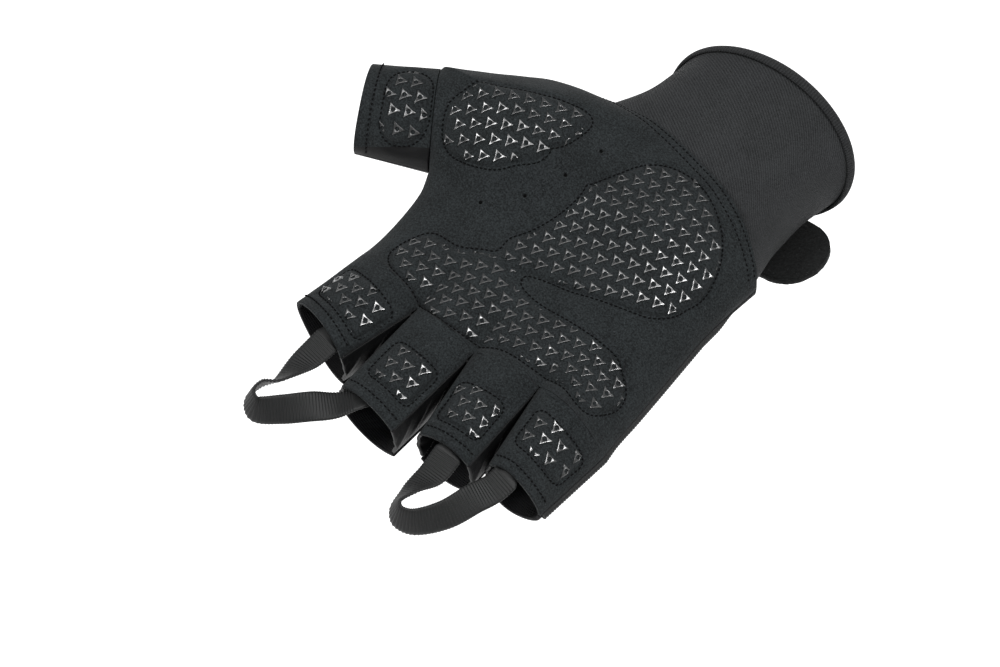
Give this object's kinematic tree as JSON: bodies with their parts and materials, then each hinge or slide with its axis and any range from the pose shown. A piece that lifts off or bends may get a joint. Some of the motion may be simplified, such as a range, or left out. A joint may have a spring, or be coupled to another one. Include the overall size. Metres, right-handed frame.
{
  "type": "weightlifting glove",
  "caption": "Right-hand half-finger training glove in its worn shape, palm padded and gripped, with a wrist cuff, a strap and webbing pull loops.",
  "frame": {"origin": "centre of the wrist opening, the middle of the rim ring", "axes": "+Z out of the palm, -Y towards the fingertips, -X towards the thumb side"},
  "size_m": [0.1476, 0.2018, 0.0553],
  "materials": {
    "palm_suede": "matte microfibre suede",
    "back_knit": "open knit mesh, matte",
    "lycra": "smooth stretch cloth with a dull shine",
    "neoprene": "matte with a fine diagonal twill",
    "binding": "ribbed tape, matte",
    "webbing": "ribbed webbing, matte",
    "strap_pile": "looped pile, matte",
    "pad_suede": "matte microfibre suede with glossy silicone triangles"
  },
  "bodies": {
    "root": {"palm_panel": "palm_suede", "back_panel": "back_knit", "thumb_panel": "palm_suede", "thumb_back": "lycra", "fourchette_index_middle": "lycra", "fourchette_middle_ring": "lycra", "fourchette_ring_little": "lycra", "cuff": "neoprene", "cuff_binding": "binding", "wrist_strap": "strap_pile", "palm_pad": "pad_suede", "thumb_mound_pad": "pad_suede", "thumb_pad": "pad_suede", "index_pad": "pad_suede", "middle_pad": "pad_suede", "ring_pad": "pad_suede", "little_pad": "pad_suede", "pull_loop_index_middle": "webbing", "pull_loop_ring_little": "webbing"}
  },
  "joints": []
}
